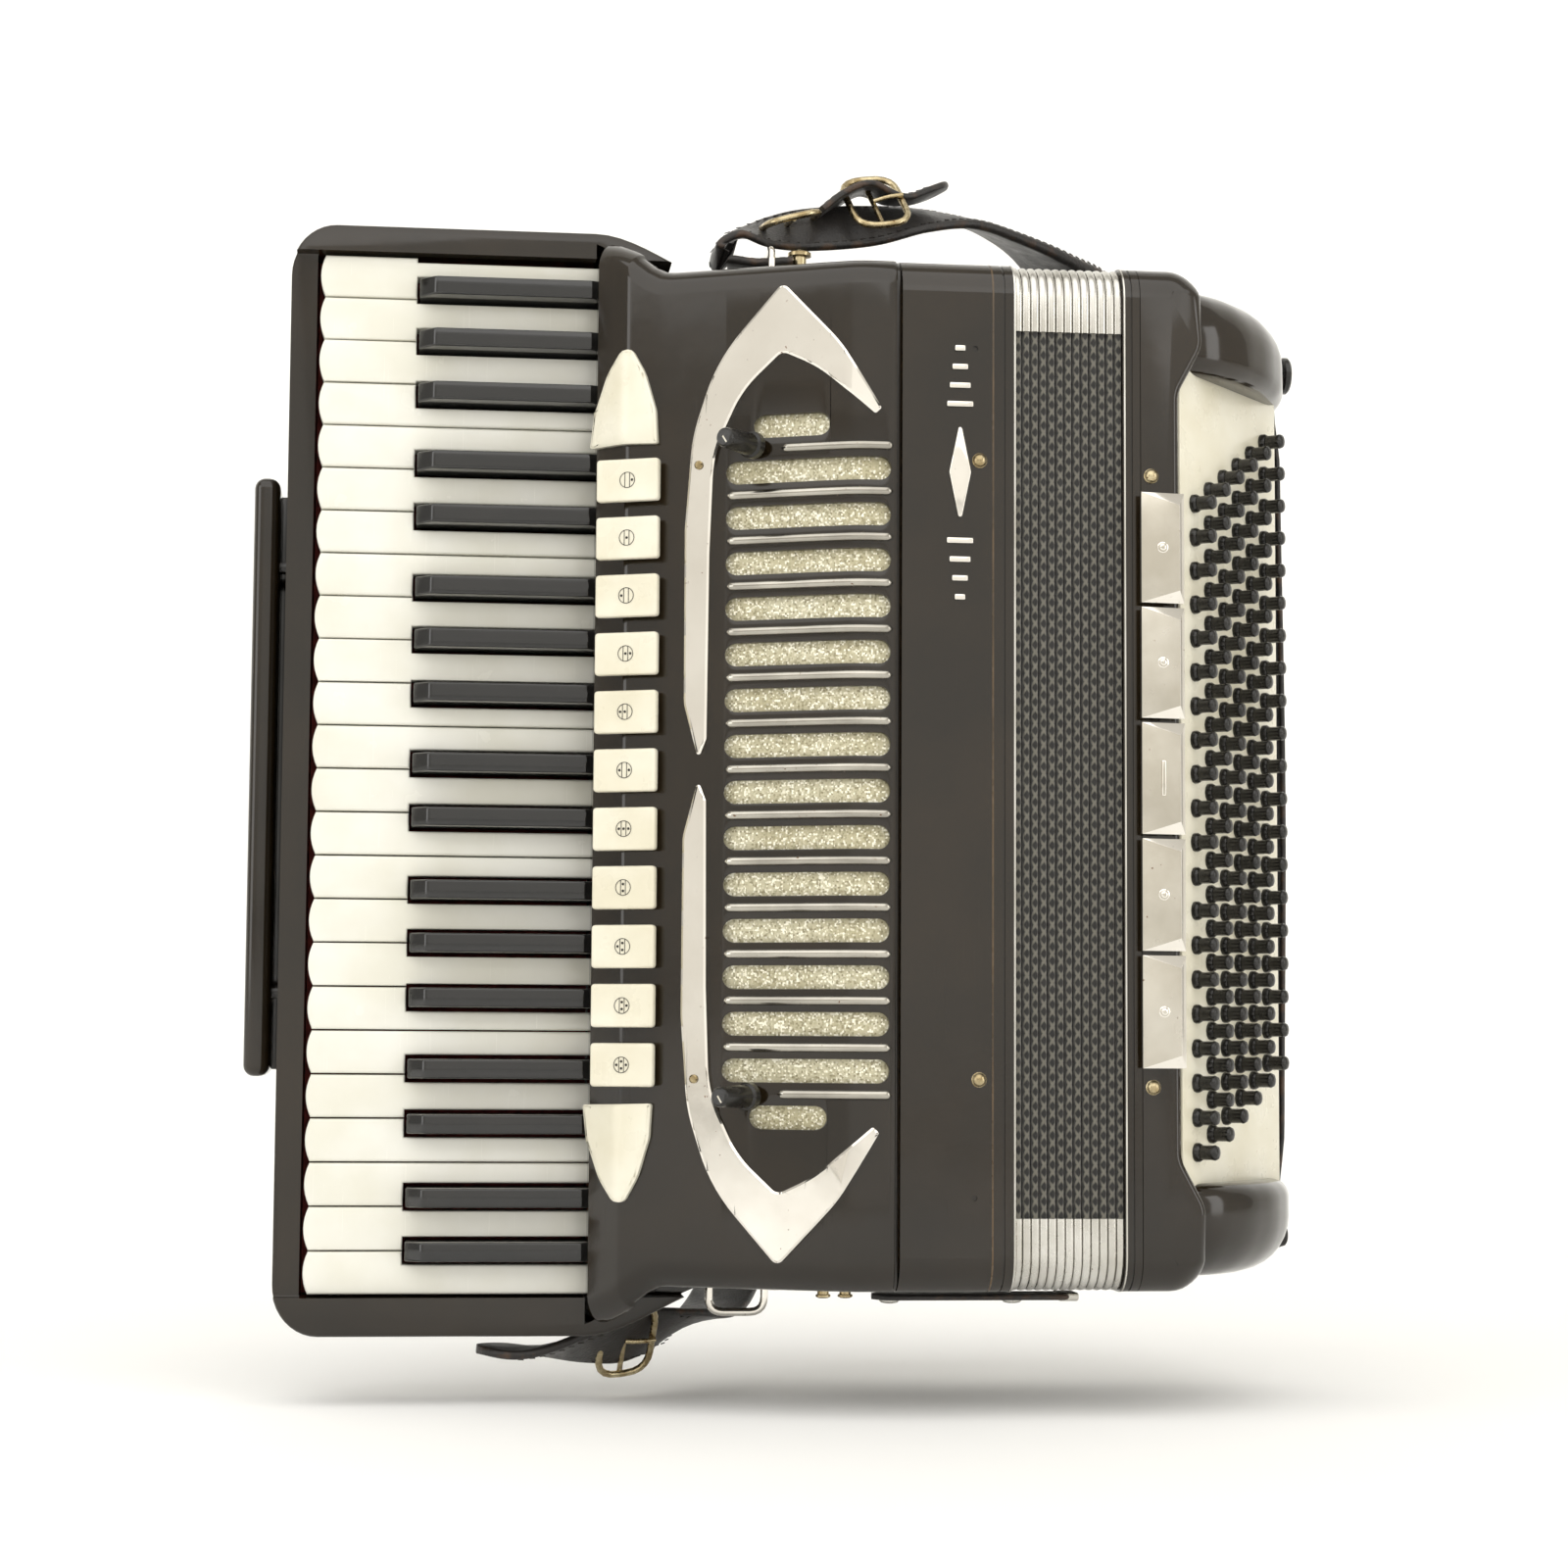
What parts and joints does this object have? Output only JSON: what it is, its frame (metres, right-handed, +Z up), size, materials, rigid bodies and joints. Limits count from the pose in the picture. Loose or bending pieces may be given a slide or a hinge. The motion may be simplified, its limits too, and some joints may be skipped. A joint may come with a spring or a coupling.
{
  "type": "piano accordion",
  "caption": "piano accordion with a white and black treble keyboard, slotted grille with metal trims, pleated bellows, slanted bass button board, register tabs and leather straps",
  "frame": {"origin": "on the flat back of the treble casing, at mid height", "axes": "X along the bellows towards the bass side, Y from the front towards the player's chest, Z up as the instrument is worn"},
  "size_m": [0.5032, 0.2512, 0.558],
  "materials": {
    "black_celluloid": "polished sheet celluloid over wood",
    "speaker_cloth": "woven cloth with metallic thread",
    "chrome": "polished plate, slightly pitted",
    "cream_plastic": "moulded, slightly yellowed",
    "steel": "drawn rod",
    "spruce": "planed softwood",
    "bellows_cloth": "cloth-covered pleated card",
    "brass": "pale plated brass, worn",
    "black_leather": "finished leather, worn brown edges",
    "black_button_plastic": "moulded and polished",
    "black_key_plastic": "moulded and polished",
    "ivory_celluloid": "polished celluloid, slightly yellowed"
  },
  "bodies": {
    "body": {"bellows": "bellows_cloth", "grille_chrome": "chrome", "grille_cloth": "speaker_cloth", "grille_cover": "black_celluloid", "key_and_register_axles": "steel", "keyboard_body": "black_celluloid", "register_end_caps": "cream_plastic", "shoulder_strap": "black_leather", "strap_buckles": "brass", "treble_bellows_frame": "black_celluloid", "treble_casing": "black_celluloid", "treble_fittings": "brass", "treble_reed_blocks": "spruce", "treble_soundboard": "spruce"},
    "bass_side": {"bass_bellows_frame": "black_celluloid", "bass_casing": "black_celluloid", "button_board": "cream_plastic", "bass_reed_blocks": "spruce", "bass_strap": "black_leather", "bass_fittings": "brass"},
    "keys_a": {"keys_a": "ivory_celluloid"},
    "keys_a_sharp": {"keys_a_sharp": "black_key_plastic"},
    "keys_b": {"keys_b": "ivory_celluloid"},
    "keys_c": {"keys_c": "ivory_celluloid"},
    "keys_c_sharp": {"keys_c_sharp": "black_key_plastic"},
    "keys_d": {"keys_d": "ivory_celluloid"},
    "keys_d_sharp": {"keys_d_sharp": "black_key_plastic"},
    "keys_e": {"keys_e": "ivory_celluloid"},
    "keys_f": {"keys_f": "ivory_celluloid"},
    "keys_f_sharp": {"keys_f_sharp": "black_key_plastic"},
    "keys_g": {"keys_g": "ivory_celluloid"},
    "keys_g_sharp": {"keys_g_sharp": "black_key_plastic"},
    "bass_buttons_1": {"bass_buttons_1": "black_button_plastic"},
    "bass_buttons_2": {"bass_buttons_2": "black_button_plastic"},
    "bass_buttons_3": {"bass_buttons_3": "black_button_plastic"},
    "bass_buttons_4": {"bass_buttons_4": "black_button_plastic"},
    "bass_buttons_5": {"bass_buttons_5": "black_button_plastic"},
    "bass_buttons_6": {"bass_buttons_6": "black_button_plastic"},
    "register_tab_01": {"register_tab_01": "cream_plastic"},
    "register_tab_02": {"register_tab_02": "cream_plastic"},
    "register_tab_03": {"register_tab_03": "cream_plastic"},
    "register_tab_04": {"register_tab_04": "cream_plastic"},
    "register_tab_05": {"register_tab_05": "cream_plastic"},
    "register_tab_06": {"register_tab_06": "cream_plastic"},
    "register_tab_07": {"register_tab_07": "cream_plastic"},
    "register_tab_08": {"register_tab_08": "cream_plastic"},
    "register_tab_09": {"register_tab_09": "cream_plastic"},
    "register_tab_10": {"register_tab_10": "cream_plastic"},
    "register_tab_11": {"register_tab_11": "cream_plastic"},
    "bass_register_1": {"bass_register_1": "chrome"},
    "bass_register_2": {"bass_register_2": "chrome"},
    "bass_register_3": {"bass_register_3": "chrome"},
    "bass_register_4": {"bass_register_4": "chrome"},
    "bass_register_5": {"bass_register_5": "chrome"},
    "palm_bar": {"palm_bar": "black_celluloid"},
    "upper_knob": {"upper_knob": "black_celluloid"},
    "lower_knob": {"lower_knob": "black_celluloid"},
    "strap_wheel": {"strap_wheel": "black_celluloid"},
    "air_button": {"air_button": "black_celluloid"},
    "bellows_strap": {"bellows_strap": "black_leather"}
  },
  "joints": [
    {"name": "bellows_open", "type": "slide", "parent": "body", "child": "bass_side", "axis": [1, 0, 0], "range_m": [0, 0.3]},
    {"name": "keys_a_press", "type": "hinge", "parent": "body", "child": "keys_a", "pos_m": [-0.126, -0.105, 0], "axis": [0, 0, -1], "range_deg": [0, 2], "stiffness_Nm_per_rad": 4, "springref_deg": -4.58},
    {"name": "keys_a_sharp_press", "type": "hinge", "parent": "body", "child": "keys_a_sharp", "pos_m": [-0.126, -0.105, 0], "axis": [0, 0, -1], "range_deg": [0, 2], "stiffness_Nm_per_rad": 4, "springref_deg": -4.58},
    {"name": "keys_b_press", "type": "hinge", "parent": "body", "child": "keys_b", "pos_m": [-0.126, -0.105, 0], "axis": [0, 0, -1], "range_deg": [0, 2], "stiffness_Nm_per_rad": 4, "springref_deg": -4.58},
    {"name": "keys_c_press", "type": "hinge", "parent": "body", "child": "keys_c", "pos_m": [-0.126, -0.105, 0], "axis": [0, 0, -1], "range_deg": [0, 2], "stiffness_Nm_per_rad": 4, "springref_deg": -4.58},
    {"name": "keys_c_sharp_press", "type": "hinge", "parent": "body", "child": "keys_c_sharp", "pos_m": [-0.126, -0.105, 0], "axis": [0, 0, -1], "range_deg": [0, 2], "stiffness_Nm_per_rad": 4, "springref_deg": -4.58},
    {"name": "keys_d_press", "type": "hinge", "parent": "body", "child": "keys_d", "pos_m": [-0.126, -0.105, 0], "axis": [0, 0, -1], "range_deg": [0, 2], "stiffness_Nm_per_rad": 4, "springref_deg": -4.58},
    {"name": "keys_d_sharp_press", "type": "hinge", "parent": "body", "child": "keys_d_sharp", "pos_m": [-0.126, -0.105, 0], "axis": [0, 0, -1], "range_deg": [0, 2], "stiffness_Nm_per_rad": 4, "springref_deg": -4.58},
    {"name": "keys_e_press", "type": "hinge", "parent": "body", "child": "keys_e", "pos_m": [-0.126, -0.105, 0], "axis": [0, 0, -1], "range_deg": [0, 2], "stiffness_Nm_per_rad": 4, "springref_deg": -4.58},
    {"name": "keys_f_press", "type": "hinge", "parent": "body", "child": "keys_f", "pos_m": [-0.126, -0.105, 0], "axis": [0, 0, -1], "range_deg": [0, 2], "stiffness_Nm_per_rad": 4, "springref_deg": -4.58},
    {"name": "keys_f_sharp_press", "type": "hinge", "parent": "body", "child": "keys_f_sharp", "pos_m": [-0.126, -0.105, 0], "axis": [0, 0, -1], "range_deg": [0, 2], "stiffness_Nm_per_rad": 4, "springref_deg": -4.58},
    {"name": "keys_g_press", "type": "hinge", "parent": "body", "child": "keys_g", "pos_m": [-0.126, -0.105, 0], "axis": [0, 0, -1], "range_deg": [0, 2], "stiffness_Nm_per_rad": 4, "springref_deg": -4.58},
    {"name": "keys_g_sharp_press", "type": "hinge", "parent": "body", "child": "keys_g_sharp", "pos_m": [-0.126, -0.105, 0], "axis": [0, 0, -1], "range_deg": [0, 2], "stiffness_Nm_per_rad": 4, "springref_deg": -4.58},
    {"name": "register_tab_01_rock", "type": "hinge", "parent": "body", "child": "register_tab_01", "pos_m": [-0.1146, -0.14631, 0], "axis": [0, 0, -1], "range_deg": [0, 5], "stiffness_Nm_per_rad": 0.4, "springref_deg": -5.73},
    {"name": "register_tab_02_rock", "type": "hinge", "parent": "body", "child": "register_tab_02", "pos_m": [-0.1146, -0.14631, 0], "axis": [0, 0, -1], "range_deg": [0, 5], "stiffness_Nm_per_rad": 0.4, "springref_deg": -5.73},
    {"name": "register_tab_03_rock", "type": "hinge", "parent": "body", "child": "register_tab_03", "pos_m": [-0.1146, -0.14631, 0], "axis": [0, 0, -1], "range_deg": [0, 5], "stiffness_Nm_per_rad": 0.4, "springref_deg": -5.73},
    {"name": "register_tab_04_rock", "type": "hinge", "parent": "body", "child": "register_tab_04", "pos_m": [-0.1146, -0.14631, 0], "axis": [0, 0, -1], "range_deg": [0, 5], "stiffness_Nm_per_rad": 0.4, "springref_deg": -5.73},
    {"name": "register_tab_05_rock", "type": "hinge", "parent": "body", "child": "register_tab_05", "pos_m": [-0.1146, -0.14631, 0], "axis": [0, 0, -1], "range_deg": [0, 5], "stiffness_Nm_per_rad": 0.4, "springref_deg": -5.73},
    {"name": "register_tab_06_rock", "type": "hinge", "parent": "body", "child": "register_tab_06", "pos_m": [-0.1146, -0.14631, 0], "axis": [0, 0, -1], "range_deg": [0, 5], "stiffness_Nm_per_rad": 0.4, "springref_deg": -5.73},
    {"name": "register_tab_07_rock", "type": "hinge", "parent": "body", "child": "register_tab_07", "pos_m": [-0.1146, -0.14631, 0], "axis": [0, 0, -1], "range_deg": [0, 5], "stiffness_Nm_per_rad": 0.4, "springref_deg": -5.73},
    {"name": "register_tab_08_rock", "type": "hinge", "parent": "body", "child": "register_tab_08", "pos_m": [-0.1146, -0.14631, 0], "axis": [0, 0, -1], "range_deg": [0, 5], "stiffness_Nm_per_rad": 0.4, "springref_deg": -5.73},
    {"name": "register_tab_09_rock", "type": "hinge", "parent": "body", "child": "register_tab_09", "pos_m": [-0.1146, -0.14631, 0], "axis": [0, 0, -1], "range_deg": [0, 5], "stiffness_Nm_per_rad": 0.4, "springref_deg": -5.73},
    {"name": "register_tab_10_rock", "type": "hinge", "parent": "body", "child": "register_tab_10", "pos_m": [-0.1146, -0.14631, 0], "axis": [0, 0, -1], "range_deg": [0, 5], "stiffness_Nm_per_rad": 0.4, "springref_deg": -5.73},
    {"name": "register_tab_11_rock", "type": "hinge", "parent": "body", "child": "register_tab_11", "pos_m": [-0.1146, -0.14631, 0], "axis": [0, 0, -1], "range_deg": [0, 5], "stiffness_Nm_per_rad": 0.4, "springref_deg": -5.73},
    {"name": "bass_register_1_press", "type": "slide", "parent": "bass_side", "child": "bass_register_1", "axis": [0, 1, 0], "range_m": [0, 0.003], "stiffness_N_per_m": 300, "springref_m": -0.003},
    {"name": "bass_register_2_press", "type": "slide", "parent": "bass_side", "child": "bass_register_2", "axis": [0, 1, 0], "range_m": [0, 0.003], "stiffness_N_per_m": 300, "springref_m": -0.003},
    {"name": "bass_register_3_press", "type": "slide", "parent": "bass_side", "child": "bass_register_3", "axis": [0, 1, 0], "range_m": [0, 0.003], "stiffness_N_per_m": 300, "springref_m": -0.003},
    {"name": "bass_register_4_press", "type": "slide", "parent": "bass_side", "child": "bass_register_4", "axis": [0, 1, 0], "range_m": [0, 0.003], "stiffness_N_per_m": 300, "springref_m": -0.003},
    {"name": "bass_register_5_press", "type": "slide", "parent": "bass_side", "child": "bass_register_5", "axis": [0, 1, 0], "range_m": [0, 0.003], "stiffness_N_per_m": 300, "springref_m": -0.003},
    {"name": "bass_buttons_1_press", "type": "slide", "parent": "bass_side", "child": "bass_buttons_1", "axis": [-0.7634, 0.6459, 0], "range_m": [0, 0.004], "stiffness_N_per_m": 2000, "springref_m": -0.002},
    {"name": "bass_buttons_2_press", "type": "slide", "parent": "bass_side", "child": "bass_buttons_2", "axis": [-0.7634, 0.6459, 0], "range_m": [0, 0.004], "stiffness_N_per_m": 2000, "springref_m": -0.002},
    {"name": "bass_buttons_3_press", "type": "slide", "parent": "bass_side", "child": "bass_buttons_3", "axis": [-0.7634, 0.6459, 0], "range_m": [0, 0.004], "stiffness_N_per_m": 2000, "springref_m": -0.002},
    {"name": "bass_buttons_4_press", "type": "slide", "parent": "bass_side", "child": "bass_buttons_4", "axis": [-0.7634, 0.6459, 0], "range_m": [0, 0.004], "stiffness_N_per_m": 2000, "springref_m": -0.002},
    {"name": "bass_buttons_5_press", "type": "slide", "parent": "bass_side", "child": "bass_buttons_5", "axis": [-0.7634, 0.6459, 0], "range_m": [0, 0.004], "stiffness_N_per_m": 2000, "springref_m": -0.002},
    {"name": "bass_buttons_6_press", "type": "slide", "parent": "bass_side", "child": "bass_buttons_6", "axis": [-0.7634, 0.6459, 0], "range_m": [0, 0.004], "stiffness_N_per_m": 2000, "springref_m": -0.002},
    {"name": "palm_bar_press", "type": "slide", "parent": "body", "child": "palm_bar", "axis": [1, 0, 0], "range_m": [0, 0.003], "stiffness_N_per_m": 600, "springref_m": -0.003},
    {"name": "air_button_press", "type": "slide", "parent": "bass_side", "child": "air_button", "axis": [-1, 0, 0], "range_m": [0, 0.0035], "stiffness_N_per_m": 400, "springref_m": -0.003},
    {"name": "upper_knob_turn", "type": "hinge", "parent": "body", "child": "upper_knob", "pos_m": [-0.07, -0.1722, 0.146], "axis": [-0.6428, -0.766, 0], "range_deg": [0, 270]},
    {"name": "lower_knob_turn", "type": "hinge", "parent": "body", "child": "lower_knob", "pos_m": [-0.07, -0.1722, -0.146], "axis": [-0.6428, -0.766, 0], "range_deg": [0, 270]},
    {"name": "strap_wheel_turn", "type": "hinge", "parent": "bass_side", "child": "strap_wheel", "pos_m": [0.16, -0.04, 0.236], "axis": [0, 0, 1], "continuous": true},
    {"name": "bellows_strap_swing", "type": "hinge", "parent": "body", "child": "bellows_strap", "pos_m": [-0.006, -0.15, -0.235], "axis": [0, 0, 1], "range_deg": [0, 80]}
  ]
}
